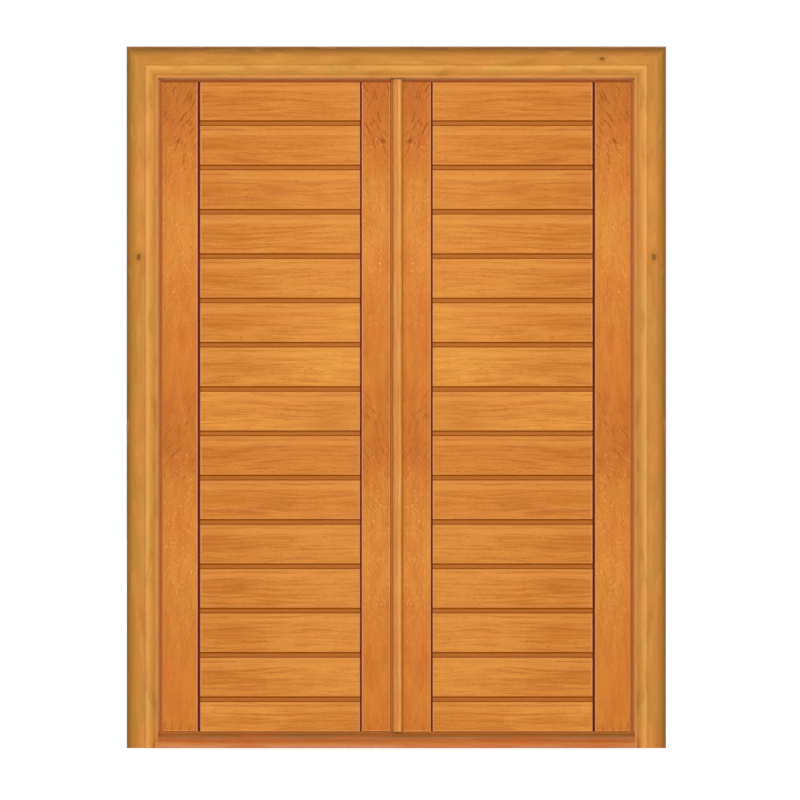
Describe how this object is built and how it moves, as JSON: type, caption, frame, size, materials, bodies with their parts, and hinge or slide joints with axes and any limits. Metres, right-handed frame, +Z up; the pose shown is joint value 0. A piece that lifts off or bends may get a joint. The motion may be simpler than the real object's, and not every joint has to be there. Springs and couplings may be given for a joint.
{
  "type": "double door",
  "caption": "Moulded timber door frame with a pair of horizontally boarded leaves that swing inwards on butt hinges and meet behind a cover bead.",
  "frame": {"origin": "centre of the sill's underside, on the middle of the frame's width and depth", "axes": "+Z up, +X to the right seen from the moulded side, +Y to the rear, the way the leaves open"},
  "size_m": [1.68, 0.0895, 2.185],
  "materials": {
    "frame_timber": "satin lacquered hardwood, golden",
    "sill_timber": "satin lacquered hardwood, reddish, worn on the slope",
    "stile_timber": "satin lacquered hardwood, orange, lively figure",
    "board_timber": "satin lacquered hardwood, orange, fine straight grain",
    "bead_timber": "satin lacquered hardwood, golden",
    "seal_brush": "tan brush pile",
    "hinge_metal": "satin brass, slightly dulled"
  },
  "bodies": {
    "frame": {"head": "frame_timber", "left_jamb": "frame_timber", "right_jamb": "frame_timber", "sill": "sill_timber", "left_frame_hinges": "hinge_metal", "right_frame_hinges": "hinge_metal"},
    "left_leaf": {"left_hinge_stile": "stile_timber", "left_meeting_stile": "stile_timber", "left_board_01": "board_timber", "left_board_02": "board_timber", "left_board_03": "board_timber", "left_board_04": "board_timber", "left_board_05": "board_timber", "left_board_06": "board_timber", "left_board_07": "board_timber", "left_board_08": "board_timber", "left_board_09": "board_timber", "left_board_10": "board_timber", "left_board_11": "board_timber", "left_board_12": "board_timber", "left_board_13": "board_timber", "left_board_14": "board_timber", "left_board_15": "board_timber", "left_leaf_hinges": "hinge_metal", "rear_meeting_seal": "seal_brush"},
    "right_leaf": {"right_hinge_stile": "stile_timber", "right_meeting_stile": "stile_timber", "right_board_01": "board_timber", "right_board_02": "board_timber", "right_board_03": "board_timber", "right_board_04": "board_timber", "right_board_05": "board_timber", "right_board_06": "board_timber", "right_board_07": "board_timber", "right_board_08": "board_timber", "right_board_09": "board_timber", "right_board_10": "board_timber", "right_board_11": "board_timber", "right_board_12": "board_timber", "right_board_13": "board_timber", "right_board_14": "board_timber", "right_board_15": "board_timber", "right_leaf_hinges": "hinge_metal", "meeting_bead": "bead_timber", "meeting_seal": "seal_brush"}
  },
  "joints": [
    {"name": "left_leaf_swing", "type": "hinge", "parent": "frame", "child": "left_leaf", "pos_m": [-0.7565, 0.0465, 1.11], "axis": [0, 0, 1], "range_deg": [0, 170]},
    {"name": "right_leaf_swing", "type": "hinge", "parent": "frame", "child": "right_leaf", "pos_m": [0.7565, 0.0465, 1.11], "axis": [0, 0, -1], "range_deg": [0, 170]}
  ]
}
